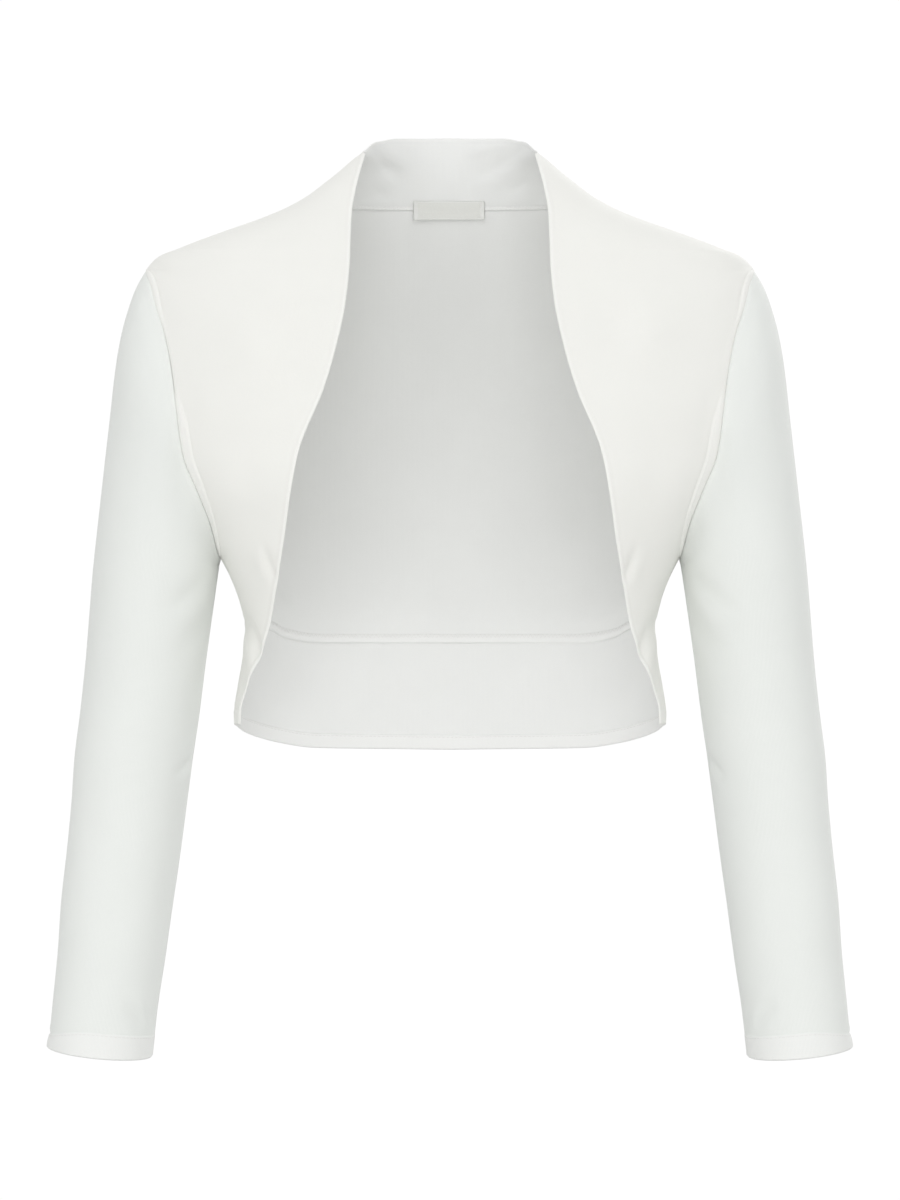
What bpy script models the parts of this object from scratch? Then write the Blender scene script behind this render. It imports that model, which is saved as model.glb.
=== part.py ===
"""Cropped bolero jacket with long sleeves and a grown-on standing collar, hollow as worn.

Origin at the middle of the back neck seam's height and x, in the plane of the neck's middle.
+X is the wearer's left, -Y the open front, +Z up.  Lengths are in millimetres until a mesh is made.
"""
import math

import bmesh
import bpy
from mathutils import Vector

# Driving sizes
MM = 0.001
WALL = 1.5
DOUBLED_WALL = 2.4
SEAM_GAP = 0.3
SQUARENESS = 2.3
COLLAR_SEAM = 0.0
SHOULDER_TIP = -50.0
UNDERARM = -250.6
SLEEVE_FULLNESS = 5.0
CUFF_TILT = 0.103
LABEL_WIDTH = 51.0
LABEL_HEIGHT = 12.4
LABEL_WALL = 1.0

# Columns of points across each panel, and where the rows of points lie
FRONT_COLUMNS = 10
BACK_COLUMNS = 20
COLLAR_ROWS = (1.0, 0.85, 0.68, 0.5, 0.33, 0.16)
SHOULDER_ROWS = (-5.0, -10.0, -15.5, -21.0, -27.0, -33.0, -38.0, -43.5)
ARMHOLE_ROWS = (SHOULDER_TIP, -55.0, -62.0, -72.0, -85.0, -100.0, -118.0, -137.0, -156.0, -174.0,
                -191.0, -206.0, -219.0, -230.0, -239.5, -246.5, UNDERARM)
FIRST_MIDDLE = -51.0
LAST_MIDDLE = -255.0
WAIST_ROWS = (0.2, 0.4, 0.6, 0.8, 1.0)
BAND_ROWS = (0.0, 0.2, 0.42, 0.64, 0.85, 0.865, 1.0)
BAND_HEM_ROW = 0.86
SLEEVE_ROWS = (-292.0, -325.0, -359.0, -393.0, -426.0, -460.0, -493.0, -527.0, -560.0, -576.5,
               -578.0, -592.6)
CUFF_HEM_HEIGHT = -577.5


class Table:
    """A short table read by its first column, with a smooth curve through each other column."""

    def __init__(self, columns, *rows):
        names = columns.split()
        rows = sorted(rows)
        self.steps = [row[0] for row in rows]
        self.values = {name: [row[i] for row in rows] for i, name in enumerate(names) if i}
        self.slopes = {name: self.slopes_of(values) for name, values in self.values.items()}

    def slopes_of(self, values):
        """Slopes that never let the curve swing past its own points."""
        rises = [(values[i + 1] - values[i]) / (self.steps[i + 1] - self.steps[i])
                 for i in range(len(values) - 1)]
        inner = [0.0 if a * b <= 0 else 2 * a * b / (a + b) for a, b in zip(rises, rises[1:])]
        return [rises[0]] + inner + [rises[-1]]

    def at(self, step, name):
        steps = self.steps
        values = self.values[name]
        slopes = self.slopes[name]
        if step <= steps[0]:
            return values[0]
        if step >= steps[-1]:
            return values[-1]
        i = max(k for k in range(len(steps) - 1) if steps[k] <= step)
        span = steps[i + 1] - steps[i]
        t = (step - steps[i]) / span
        start = (1 + 2 * t) * (1 - t) ** 2 * values[i] + t * (1 - t) ** 2 * span * slopes[i]
        end = t * t * (3 - 2 * t) * values[i + 1] + t * t * (t - 1) * span * slopes[i + 1]
        return start + end


# Half the width of the body, down the collar, the shoulder line, behind the sleeves and the side
WIDTH = Table(
    "height half_width",
    (51.0, 59.5), (38.0, 60.2), (34.0, 61.4), (31.0, 64.8), (28.5, 68.0), (20.0, 77.6),
    (11.7, 88.0), (3.3, 99.0), (-5.2, 113.7), (-13.6, 133.5), (-22.0, 157.5), (-30.4, 180.6),
    (-35.4, 193.0), (-38.6, 201.5), (-43.0, 206.8), (-50.0, 210.7), (-58.0, 214.5),
    (-68.0, 218.0), (-87.0, 219.5), (-110.0, 217.0), (-147.0, 213.0), (-181.0, 201.0),
    (-205.0, 186.0), (-230.0, 170.0), (-250.6, 160.6), (-266.0, 153.0), (-283.0, 146.9),
    (-300.0, 143.3), (-317.0, 144.7), (-342.0, 148.7), (-359.0, 151.0), (-372.0, 150.5),
    (-390.0, 150.0))

# How far the cloth stands before and behind the body's middle plane
DEPTH = Table(
    "height front back middle",
    (51.0, 6.0, 57.0, 7.0), (36.0, 9.5, 59.0, 7.0), (24.5, 24.0, 60.5, 7.0),
    (15.0, 33.0, 62.0, 7.0), (3.8, 39.0, 63.5, 7.0), (-12.0, 46.0, 67.0, 7.0),
    (-29.5, 54.0, 72.0, 7.0), (-47.6, 62.0, 77.0, 7.0), (-76.0, 76.0, 84.0, 7.0),
    (-104.0, 87.0, 90.0, 7.0), (-139.0, 98.0, 94.0, 7.0), (-166.0, 105.0, 95.0, 7.0),
    (-206.0, 113.0, 94.0, 5.0), (-240.0, 107.0, 89.0, 4.0), (-273.5, 95.0, 83.0, 3.0),
    (-297.5, 87.0, 80.0, 2.0), (-330.0, 86.0, 82.0, 2.0), (-358.0, 87.0, 86.0, 2.0),
    (-390.0, 88.0, 90.0, 2.0))

# The open front edge's distance from the middle, from the collar's top to the hem's round corner
EDGE = Table(
    "height from_middle",
    (35.0, 59.2), (24.5, 61.4), (15.0, 63.6), (3.8, 65.8), (-12.0, 68.0), (-29.5, 68.5),
    (-47.6, 68.8), (-76.0, 71.1), (-104.0, 76.3), (-139.0, 86.1), (-166.0, 97.4), (-179.0, 102.0),
    (-206.0, 107.3), (-240.0, 112.7), (-273.5, 119.0), (-297.5, 123.8), (-315.0, 129.0),
    (-327.0, 134.1), (-341.0, 140.1), (-350.0, 142.6), (-358.0, 143.6), (-366.5, 143.4))

# The armhole seam's distance from the middle
ARMHOLE = Table(
    "height front back",
    (-50.0, 210.7, 210.7), (-64.0, 207.0, 208.0), (-79.0, 203.0, 205.0), (-94.0, 197.8, 201.0),
    (-112.0, 193.4, 198.0), (-147.0, 187.8, 193.0), (-181.0, 182.9, 187.0), (-205.0, 173.5, 177.0),
    (-230.0, 164.6, 166.0), (-250.6, 160.6, 160.6))

# Heights of the three level seams and edges, by the angle round the body from the centre back
LINES = Table(
    "degrees collar_top waist hem",
    (0.0, 50.9, -311.8, -388.3), (37.0, 49.4, -311.5, -386.3), (53.0, 46.4, -307.5, -381.8),
    (61.0, 44.8, -302.0, -378.8), (75.0, 39.6, -297.0, -373.3), (90.0, 34.6, -294.4, -367.6),
    (98.0, 33.2, -295.4, -366.5), (114.0, 32.2, -299.5, -366.0), (125.0, 32.0, -302.5, -366.0))

# The sleeve head's outline over the shoulder, from the armhole's top to the level of the underarm
CROWN = Table(
    "turn from_middle height",
    (0.0, 210.7, -50.0), (1 / 7, 219.5, -60.5), (2 / 7, 225.5, -76.0), (3 / 7, 230.6, -95.0),
    (4 / 7, 235.2, -124.0), (5 / 7, 239.8, -164.0), (6 / 7, 244.8, -210.0), (1.0, 250.1, -258.0))
CROWN_RINGS = 7

# The sleeve below the underarm
SLEEVE = Table(
    "height centre half_width depth_centre half_depth tilt",
    (-258.0, 206.2, 43.9, 6.0, 55.0, 0.0), (-292.0, 210.1, 42.8, 8.0, 53.0, 0.2),
    (-325.0, 213.9, 41.8, 9.0, 50.5, 0.4), (-359.0, 217.8, 41.4, 8.0, 48.0, 0.6),
    (-393.0, 222.2, 40.9, 5.0, 46.0, 0.8), (-426.0, 225.1, 39.7, 1.0, 44.5, 0.9),
    (-460.0, 228.5, 38.9, -4.0, 43.0, 1.0), (-493.0, 232.3, 38.3, -9.0, 42.0, 1.0),
    (-527.0, 235.4, 37.1, -14.0, 41.0, 1.0), (-560.0, 239.1, 36.2, -19.0, 40.0, 1.0),
    (-596.0, 242.4, 35.8, -24.0, 39.0, 1.0))

# Colour, roughness of each cloth
CLOTHS = {
    "ivory_front": ((0.86, 0.87, 0.84, 1.0), 0.75),
    "white_sleeve": ((0.80, 0.82, 0.80, 1.0), 0.8),
    "white_back": ((0.78, 0.80, 0.79, 1.0), 0.8),
    "woven_label": ((0.74, 0.75, 0.72, 1.0), 0.55),
}


def mix(start, end, share):
    return start + (end - start) * share


def body_point(angle, height):
    """Outside of the body cloth; angle 0 is the centre back, a quarter turn is the side."""
    half_width = WIDTH.at(height, "half_width")
    forward = math.cos(angle) < 0
    depth = DEPTH.at(height, "front" if forward else "back")
    across = math.copysign(abs(math.sin(angle)) ** (2 / SQUARENESS), math.sin(angle))
    along = math.copysign(abs(math.cos(angle)) ** (2 / SQUARENESS), math.cos(angle))
    return Vector((half_width * across, DEPTH.at(height, "middle") + depth * along, height))


def body_normal(angle, height):
    turn = math.radians(1.5)
    round_body = body_point(angle + turn, height) - body_point(angle - turn, height)
    down_body = body_point(angle, height - 1.0) - body_point(angle, height + 1.0)
    return round_body.cross(down_body).normalized()


def angle_at(from_middle, height, forward):
    """Angle at which the body's section is this far from the middle, before or behind the side."""
    share = min(1.0, from_middle / WIDTH.at(height, "half_width"))
    angle = math.asin(share ** (SQUARENESS / 2))
    return math.pi - angle if forward else angle


def side_angle(height, forward):
    """Angle of the shoulder seam, the armhole seam or the side seam."""
    if UNDERARM < height < SHOULDER_TIP:
        return angle_at(ARMHOLE.at(height, "front" if forward else "back"), height, forward)
    return math.pi / 2


def edge_angle(row):
    """Angle of the front edge where a row of points reaches it."""
    angle = math.radians(120.0)
    for _ in range(8):
        angle = angle_at(EDGE.at(row(angle), "from_middle"), row(angle), True)
    return angle


def level_line(name, angle):
    return LINES.at(abs(math.degrees(angle)), name)


def collar_row(share):
    return lambda angle: mix(COLLAR_SEAM, level_line("collar_top", angle), share)


def level_row(height):
    return lambda angle: height


def armhole_row(i):
    """Row that leaves the armhole at its own height and evens out towards the panel's middle."""
    at_armhole = ARMHOLE_ROWS[i]
    at_middle = mix(FIRST_MIDDLE, LAST_MIDDLE, i / (len(ARMHOLE_ROWS) - 1))

    def height(angle):
        forward = math.cos(angle) < 0
        start = side_angle(at_armhole, forward)
        share = (angle - start) / (math.pi - start) if forward else 1 - abs(angle) / start
        share = max(0.0, share)
        return mix(at_armhole, at_middle, share * (2 - share))

    return height


def waist_row(share):
    underarm = armhole_row(len(ARMHOLE_ROWS) - 1)
    return lambda angle: mix(underarm(angle), level_line("waist", angle), share)


def band_row(share):
    return lambda angle: mix(level_line("waist", angle), level_line("hem", angle), share)


UPPER_ROWS = [collar_row(share) for share in COLLAR_ROWS]
NECK_ROW = [level_row(COLLAR_SEAM)]
BODY_ROWS = [level_row(height) for height in SHOULDER_ROWS]
BODY_ROWS += [armhole_row(i) for i in range(len(ARMHOLE_ROWS))]
BODY_ROWS += [waist_row(share) for share in WAIST_ROWS]
BAND = [band_row(share) for share in BAND_ROWS]


def hem_wall(i):
    """Thickness of the cloth at a row of the band, counted from either end."""
    return DOUBLED_WALL if i >= -len(BAND_ROWS) and BAND_ROWS[i] > BAND_HEM_ROW else WALL


def armhole_centre(side):
    top = body_point(math.pi / 2, SHOULDER_TIP)
    low = body_point(math.pi / 2, UNDERARM)
    centre = (top + low) / 2
    return Vector((centre.x * side, centre.y, centre.z))


def out_of_armhole(side):
    """Direction square to the armhole, from the body into the sleeve."""
    down = body_point(math.pi / 2, UNDERARM) - body_point(math.pi / 2, SHOULDER_TIP)
    outward = Vector((-down.z, 0.0, down.x)).normalized()
    return Vector((outward.x * side, 0.0, outward.z))


def into_armhole(point, side):
    """Direction of the cut cloth's edge at the armhole, towards the middle of the opening."""
    inward = armhole_centre(side) - point
    outward = out_of_armhole(side)
    return (inward - outward * inward.dot(outward)).normalized()


def part_seam(outer, inner, edge, neighbour):
    """Draws one edge of a panel back from its seam by half the gap."""
    for place, beside in zip(edge, neighbour):
        shift = (outer[beside[0]][beside[1]] - outer[place[0]][place[1]]).normalized()
        outer[place[0]][place[1]] += shift * SEAM_GAP / 2
        inner[place[0]][place[1]] += shift * SEAM_GAP / 2


def part_seams(outer, inner, sides):
    """Draws back the named edges of a panel: top, bottom, first and last column."""
    last_row = len(outer) - 1
    last = len(outer[0]) - 1
    rows = range(last_row + 1)
    columns = range(last + 1)
    edges = {
        "top": ([(0, j) for j in columns], [(1, j) for j in columns]),
        "bottom": ([(last_row, j) for j in columns], [(last_row - 1, j) for j in columns]),
        "first": ([(i, 0) for i in rows], [(i, 1) for i in rows]),
        "last": ([(i, last) for i in rows], [(i, last - 1) for i in rows]),
    }
    for side in sides:
        part_seam(outer, inner, *edges[side])


def make_material(name):
    colour, roughness = CLOTHS[name]
    material = bpy.data.materials.new(name)
    material.use_nodes = True
    shader = material.node_tree.nodes["Principled BSDF"]
    shader.inputs["Base Color"].default_value = colour
    shader.inputs["Roughness"].default_value = roughness
    shader.inputs["Metallic"].default_value = 0.0
    return material


def make_wall(name, outer, inner, cloth, closed=False):
    """A closed wall of cloth between an outer and an inner grid of points."""
    mesh = bmesh.new()
    grids = [[[mesh.verts.new(point * MM) for point in row] for row in grid]
             for grid in (outer, inner)]
    rows = len(outer)
    columns = len(outer[0])
    spans = columns if closed else columns - 1
    for grid in grids:
        for i in range(rows - 1):
            for j in range(spans):
                k = (j + 1) % columns
                mesh.faces.new((grid[i][j], grid[i][k], grid[i + 1][k], grid[i + 1][j]))
    for i in (0, rows - 1):
        for j in range(spans):
            k = (j + 1) % columns
            mesh.faces.new((grids[0][i][j], grids[0][i][k], grids[1][i][k], grids[1][i][j]))
    if not closed:
        for j in (0, columns - 1):
            for i in range(rows - 1):
                mesh.faces.new((grids[0][i][j], grids[0][i + 1][j],
                                grids[1][i + 1][j], grids[1][i][j]))
    bmesh.ops.recalc_face_normals(mesh, faces=mesh.faces)
    bmesh.ops.triangulate(mesh, faces=mesh.faces, quad_method="SHORT_EDGE")
    data = bpy.data.meshes.new(name)
    mesh.to_mesh(data)
    mesh.free()
    data.shade_smooth()
    data.set_sharp_from_angle(angle=math.radians(40))
    data.materials.append(make_material(cloth))
    piece = bpy.data.objects.new(name, data)
    jacket.objects.link(piece)
    return piece


def body_grid(rows, angles_of, side=1, thickness=lambda i: WALL):
    """Outer and inner points of a panel on the body, one list of angles for each row."""
    outer = []
    inner = []
    for i, row in enumerate(rows):
        outer.append([])
        inner.append([])
        for angle in angles_of(row):
            point = body_point(angle, row(angle))
            inward = point - body_normal(angle, row(angle)) * thickness(i)
            outer[-1].append(Vector((point.x * side, point.y, point.z)))
            inner[-1].append(Vector((inward.x * side, inward.y, inward.z)))
    return outer, inner


def trim_armhole(outer, inner, rows, column, side):
    """Cuts a panel's armhole edge square to the armhole and draws it back from the seam."""
    for i, row in enumerate(rows):
        height = row(math.pi / 2)
        if UNDERARM <= height <= SHOULDER_TIP:
            point = outer[i][column]
            inner[i][column] = point + into_armhole(point, side) * WALL
            shift = out_of_armhole(side) * -SEAM_GAP / 2
            outer[i][column] = point + shift
            inner[i][column] += shift


def make_front(name, side):
    """Front with its grown-on collar, in one piece from the collar's top to the turned-up hem."""
    rows = UPPER_ROWS + NECK_ROW + BODY_ROWS + BAND[1:]

    def angles(row):
        start = side_angle(row(math.pi / 2), True)
        return [mix(start, edge_angle(row), j / FRONT_COLUMNS) for j in range(FRONT_COLUMNS + 1)]

    outer, inner = body_grid(rows, angles, side, lambda i: hem_wall(i - len(rows)))
    trim_armhole(outer, inner, rows, 0, side)
    part_seams(outer, inner, ("first",))
    make_wall(name, outer, inner, "ivory_front")


def spread(limit):
    return [mix(-limit, limit, j / BACK_COLUMNS) for j in range(BACK_COLUMNS + 1)]


def make_back():
    rows = NECK_ROW + BODY_ROWS
    outer, inner = body_grid(rows, lambda row: spread(side_angle(row(math.pi / 2), False)))
    trim_armhole(outer, inner, rows, 0, -1)
    trim_armhole(outer, inner, rows, BACK_COLUMNS, 1)
    part_seams(outer, inner, ("top", "bottom", "first", "last"))
    make_wall("back", outer, inner, "white_back")


def make_back_collar():
    rows = UPPER_ROWS + NECK_ROW
    outer, inner = body_grid(rows, lambda row: spread(math.pi / 2))
    part_seams(outer, inner, ("bottom", "first", "last"))
    make_wall("back_collar", outer, inner, "white_back")


def make_waistband():
    """Band across the back from one side seam to the other, its hem turned up and doubled."""
    outer, inner = body_grid(BAND, lambda row: spread(math.pi / 2), thickness=hem_wall)
    part_seams(outer, inner, ("top", "first", "last"))
    make_wall("waistband", outer, inner, "white_back")


def armhole_ring():
    """Armhole points from the shoulder down the front and up the back, with their turn round it."""
    ring = []
    for forward in (True, False):
        points = [body_point(side_angle(height, forward), height) for height in ARMHOLE_ROWS]
        steps = [0.0] + [(b - a).length for a, b in zip(points, points[1:])]
        turns = [math.pi * sum(steps[:i + 1]) / sum(steps) for i in range(len(steps))]
        half = list(zip(points, turns if forward else [-turn for turn in turns]))
        ring += half if forward else half[-2:0:-1]
    return ring


def arm_point(height, turn):
    """Point on the sleeve below the underarm; turn 0 is the outer side, half a turn the inner."""
    across = SLEEVE.at(height, "half_width") * math.cos(turn)
    along = SLEEVE.at(height, "half_depth") * -math.sin(turn)
    rise = SLEEVE.at(height, "tilt") * CUFF_TILT * across
    return Vector((SLEEVE.at(height, "centre") + across,
                   SLEEVE.at(height, "depth_centre") + along, height + rise))


def crown_point(start, turn, share):
    """Point between the armhole and the level of the underarm, carried out by the sleeve head."""
    end = arm_point(CROWN.at(1.0, "height"), turn)
    top = Vector((CROWN.at(0.0, "from_middle"), 0.0, CROWN.at(0.0, "height")))
    low = Vector((CROWN.at(1.0, "from_middle"), 0.0, CROWN.at(1.0, "height")))
    head = Vector((CROWN.at(share, "from_middle"), 0.0, CROWN.at(share, "height")))
    carried = (head - mix(top, low, share)) * (1 + math.cos(turn)) / 2
    full = Vector((0.0, -math.sin(turn), 0.0)) * SLEEVE_FULLNESS * math.sin(math.pi * share)
    return mix(start, end, share) + carried + full


def ring_normals(grid):
    """Outward directions over a tube of rings."""
    normals = []
    count = len(grid[0])
    for i, ring in enumerate(grid):
        above = grid[max(i - 1, 0)]
        below = grid[min(i + 1, len(grid) - 1)]
        centre = sum(ring, Vector()) / count
        normals.append([])
        for j, point in enumerate(ring):
            normal = (ring[(j + 1) % count] - ring[j - 1]).cross(below[j] - above[j]).normalized()
            normals[-1].append(normal if normal.dot(point - centre) > 0 else -normal)
    return normals


def make_sleeve(name, side):
    ring = armhole_ring()
    grid = [[crown_point(start, turn, k / CROWN_RINGS) for start, turn in ring]
            for k in range(CROWN_RINGS + 1)]
    grid += [[arm_point(height, turn) for _, turn in ring] for height in SLEEVE_ROWS]
    thickness = [WALL] * (CROWN_RINGS + 1)
    thickness += [DOUBLED_WALL if height < CUFF_HEM_HEIGHT else WALL for height in SLEEVE_ROWS]
    normals = ring_normals(grid)
    inner = [[point - normal * thickness[i] for point, normal in zip(grid[i], normals[i])]
             for i in range(len(grid))]
    inner[0] = [point + into_armhole(point, 1) * WALL for point in grid[0]]
    for points in (grid[0], inner[0]):
        for j, point in enumerate(points):
            points[j] = point + out_of_armhole(1) * SEAM_GAP / 2
    for points in grid + inner:
        for point in points:
            point.x *= side
    make_wall(name, grid, inner, "white_sleeve", closed=True)


def make_label():
    """Blank woven label over the back neck seam, on the inside."""
    columns = 8
    rows = 4
    near = WALL + SEAM_GAP
    outer = []
    inner = []
    for i in range(rows + 1):
        height = mix(LABEL_HEIGHT / 2, -LABEL_HEIGHT / 2, i / rows)
        outer.append([])
        inner.append([])
        for j in range(columns + 1):
            across = mix(-LABEL_WIDTH / 2, LABEL_WIDTH / 2, j / columns)
            angle = math.copysign(angle_at(abs(across), height, False), across)
            point = body_point(angle, height)
            inward = -body_normal(angle, height)
            outer[-1].append(point + inward * near)
            inner[-1].append(point + inward * (near + LABEL_WALL))
    make_wall("neck_label", outer, inner, "woven_label")


for old in list(bpy.data.objects):
    bpy.data.objects.remove(old)

jacket = bpy.data.collections.new("bolero_jacket")
bpy.context.scene.collection.children.link(jacket)

for prefix, hand in (("left", 1), ("right", -1)):
    make_front(prefix + "_front", hand)
    make_sleeve(prefix + "_sleeve", hand)
make_back()
make_back_collar()
make_waistband()
make_label()
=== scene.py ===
import math

import bmesh
import bpy
import numpy as np
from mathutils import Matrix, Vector


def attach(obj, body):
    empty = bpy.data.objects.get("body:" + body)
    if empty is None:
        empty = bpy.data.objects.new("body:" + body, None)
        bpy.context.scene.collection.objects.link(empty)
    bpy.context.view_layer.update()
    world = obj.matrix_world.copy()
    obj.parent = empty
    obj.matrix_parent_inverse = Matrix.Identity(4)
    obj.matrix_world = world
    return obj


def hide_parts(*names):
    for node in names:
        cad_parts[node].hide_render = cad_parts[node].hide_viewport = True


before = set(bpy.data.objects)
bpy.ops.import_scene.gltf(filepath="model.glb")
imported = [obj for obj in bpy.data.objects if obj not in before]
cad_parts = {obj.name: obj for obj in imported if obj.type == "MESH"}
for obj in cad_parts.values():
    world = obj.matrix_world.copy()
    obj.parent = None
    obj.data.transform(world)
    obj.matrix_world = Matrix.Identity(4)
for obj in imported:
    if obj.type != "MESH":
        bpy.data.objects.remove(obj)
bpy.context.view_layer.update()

# Cropped bolero jacket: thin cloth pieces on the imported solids, with their creases, hems and stitches.
# The tables and sums are in millimetres, and the meshes in metres.
mm = 0.001
print("frame loaded, nodes:", len(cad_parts))

# Camera: level, straight on, as the photo was taken
photo = {
    "heightInPixels": 1200,
    "mmPerPixel": 0.7,
    "distance": 2400.0,
    "middleHeight": -280.4,
    "sensor": 24.0,
}


def newObject(name, data):
    thing = bpy.data.objects.new(name, data)
    bpy.context.scene.collection.objects.link(thing)
    return thing


def addCamera():
    data = bpy.data.cameras.new("camera")
    data.sensor_fit = "VERTICAL"
    data.sensor_height = photo["sensor"]
    data.lens = photo["sensor"] * photo["distance"] / (photo["heightInPixels"] * photo["mmPerPixel"])
    camera = newObject("camera", data)
    camera.location = (0, -photo["distance"] * mm, photo["middleHeight"] * mm)
    camera.rotation_euler = (math.pi / 2, 0, 0)
    bpy.context.scene.camera = camera


addCamera()


# Curves and grids
def smoothCurve(points):
    # passes through each point of a table and never swings past them
    x, y = (np.array(column, float) for column in zip(*sorted(points)))
    rise = np.diff(y) / np.diff(x)
    slope = np.concatenate((rise[:1], np.zeros(len(x) - 2), rise[-1:]))
    for i in range(1, len(x) - 1):
        if rise[i - 1] * rise[i] > 0:
            slope[i] = 2 * rise[i - 1] * rise[i] / (rise[i - 1] + rise[i])

    def read(at):
        at = np.clip(at, x[0], x[-1])
        i = np.clip(np.searchsorted(x, at, side="right") - 1, 0, len(x) - 2)
        span = x[i + 1] - x[i]
        t = (at - x[i]) / span
        start = (1 + 2 * t) * (1 - t) ** 2 * y[i] + t * (1 - t) ** 2 * span * slope[i]
        end = t * t * (3 - 2 * t) * y[i + 1] + t * t * (t - 1) * span * slope[i + 1]
        return start + end

    return read


def readTable(names, rows):
    columns = list(zip(*rows))
    return {name: smoothCurve(zip(columns[0], columns[i + 1])) for i, name in enumerate(names.split())}


def mix(start, end, share):
    return start + (end - start) * share


def softStep(value, start, end):
    t = np.clip((value - start) / (end - start), 0, 1)
    return t * t * (3 - 2 * t)


def bump(value, centre, width):
    return np.exp(-(((value - centre) / width) ** 2))


def ridge(value, height, centre, width):
    # tables give a ridge as its height, place and width
    return height * bump(value, centre, width)


def unit(vectors):
    return vectors / np.maximum(np.linalg.norm(vectors, axis=-1, keepdims=True), 1e-9)


def lengthsAlong(points):
    return np.concatenate([[0], np.cumsum(np.linalg.norm(np.diff(points, axis=0), axis=1))])


def eased(t):
    # from 0 to 1, slower near both ends
    return (t + (1 - np.cos(np.pi * t)) / 2) / 2


def easedSteps(count):
    # steps from 0 to 1, closer together at both ends, where the seams are
    return eased(np.linspace(0, 1, count + 1))


# The body of the jacket, repeated from the solids
body = {
    "squareness": 2.3,
    "collarSeam": 0.0,
    "shoulderTip": -50.0,
    "underarm": -250.6,
    "firstMiddle": -51.0,  # heights of the first and last armhole row in the middle of a panel
    "lastMiddle": -255.0,
    "edgeGuess": 120,  # degrees at which the search for a row's front edge starts
    "edgeRounds": 10,
}
widthTable = readTable("halfWidth", [
    (51, 59.5), (38, 60.2), (34, 61.4), (31, 64.8), (28.5, 68), (20, 77.6), (11.7, 88), (3.3, 99),
    (-5.2, 113.7),
    (-13.6, 133.5), (-22, 157.5), (-30.4, 180.6), (-35.4, 193), (-38.6, 201.5), (-43, 206.8),
    (-50, 210.7), (-58, 214.5), (-68, 218), (-87, 219.5), (-110, 217), (-147, 213), (-181, 201),
    (-205, 186), (-230, 170), (-250.6, 160.6), (-266, 153), (-283, 146.9), (-300, 143.3),
    (-317, 144.7), (-342, 148.7), (-359, 151), (-372, 150.5), (-390, 150)])
depthTable = readTable("front back middle", [
    (51, 6, 57, 7), (36, 9.5, 59, 7), (24.5, 24, 60.5, 7), (15, 33, 62, 7), (3.8, 39, 63.5, 7),
    (-12, 46, 67, 7), (-29.5, 54, 72, 7), (-47.6, 62, 77, 7), (-76, 76, 84, 7), (-104, 87, 90, 7),
    (-139, 98, 94, 7), (-166, 105, 95, 7), (-206, 113, 94, 5), (-240, 107, 89, 4),
    (-273.5, 95, 83, 3), (-297.5, 87, 80, 2), (-330, 86, 82, 2), (-358, 87, 86, 2),
    (-390, 88, 90, 2)])
edgeTable = readTable("fromMiddle", [
    (35, 59.2), (24.5, 61.4), (15, 63.6), (3.8, 65.8), (-12, 68), (-29.5, 68.5), (-47.6, 68.8),
    (-76, 71.1), (-104, 76.3), (-139, 86.1), (-166, 97.4), (-179, 102), (-206, 107.3),
    (-240, 112.7), (-273.5, 119), (-297.5, 123.8), (-315, 130), (-327, 135.2), (-341, 141.3),
    (-350, 144), (-358, 145.2), (-366.5, 145.6)])
armholeTable = readTable("front back", [
    (-50, 210.7, 210.7), (-64, 207, 208), (-79, 203, 205), (-94, 197.8, 201), (-112, 193.4, 198),
    (-147, 187.8, 193), (-181, 182.9, 187), (-205, 173.5, 177), (-230, 164.6, 166),
    (-250.6, 160.6, 160.6)])
# by the degrees round the body from the centre back
lineTable = readTable("collarTop waist hem", [
    (0, 50.9, -311.8, -388.3), (37, 49.4, -311.5, -386.3), (53, 46.4, -307.5, -381.8),
    (61, 44.8, -302, -378.8), (75, 39.6, -297, -373.3), (90, 34.6, -294.4, -367.6),
    (98, 33.2, -295.4, -366.5), (114, 32.2, -299.5, -366), (125, 32, -302.5, -366)])


def bodyPoint(angle, height):
    # outside of the cloth: 0 is the centre back, a quarter turn the left side
    angle, height = np.broadcast_arrays(np.asarray(angle, float), np.asarray(height, float))
    power = 2 / body["squareness"]
    forward = np.cos(angle) < 0
    depth = np.where(forward, depthTable["front"](height), depthTable["back"](height))
    across = np.sign(np.sin(angle)) * np.abs(np.sin(angle)) ** power
    along = np.sign(np.cos(angle)) * np.abs(np.cos(angle)) ** power
    return np.stack([widthTable["halfWidth"](height) * across,
                     depthTable["middle"](height) + depth * along, height], axis=-1)


def bodyNormal(angle, height):
    turn = math.radians(1.2)
    drop = 1.0
    roundBody = bodyPoint(angle + turn, height) - bodyPoint(angle - turn, height)
    downBody = bodyPoint(angle, height - drop) - bodyPoint(angle, height + drop)
    return unit(np.cross(roundBody, downBody))


def angleAt(fromMiddle, height, forward):
    share = np.minimum(1, fromMiddle / widthTable["halfWidth"](height))
    angle = np.arcsin(share ** (body["squareness"] / 2))
    return np.pi - angle if forward else angle


def sideAngle(height, forward):
    if body["underarm"] < height < body["shoulderTip"]:
        return float(angleAt(armholeTable["front" if forward else "back"](height), height, forward))
    return np.pi / 2


def edgeAngle(row):
    # the row's height and the edge's angle depend on each other, so they are found in turns
    angle = math.radians(body["edgeGuess"])
    for _ in range(body["edgeRounds"]):
        height = float(row(angle))
        angle = float(angleAt(edgeTable["fromMiddle"](height), height, True))
    return angle


def lineAt(name, angle):
    return lineTable[name](np.abs(np.degrees(angle)))


def collarRow(share):
    return lambda angle: mix(body["collarSeam"], lineAt("collarTop", angle), share)


def levelRow(height):
    return lambda angle: height + 0 * np.asarray(angle, float)


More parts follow.
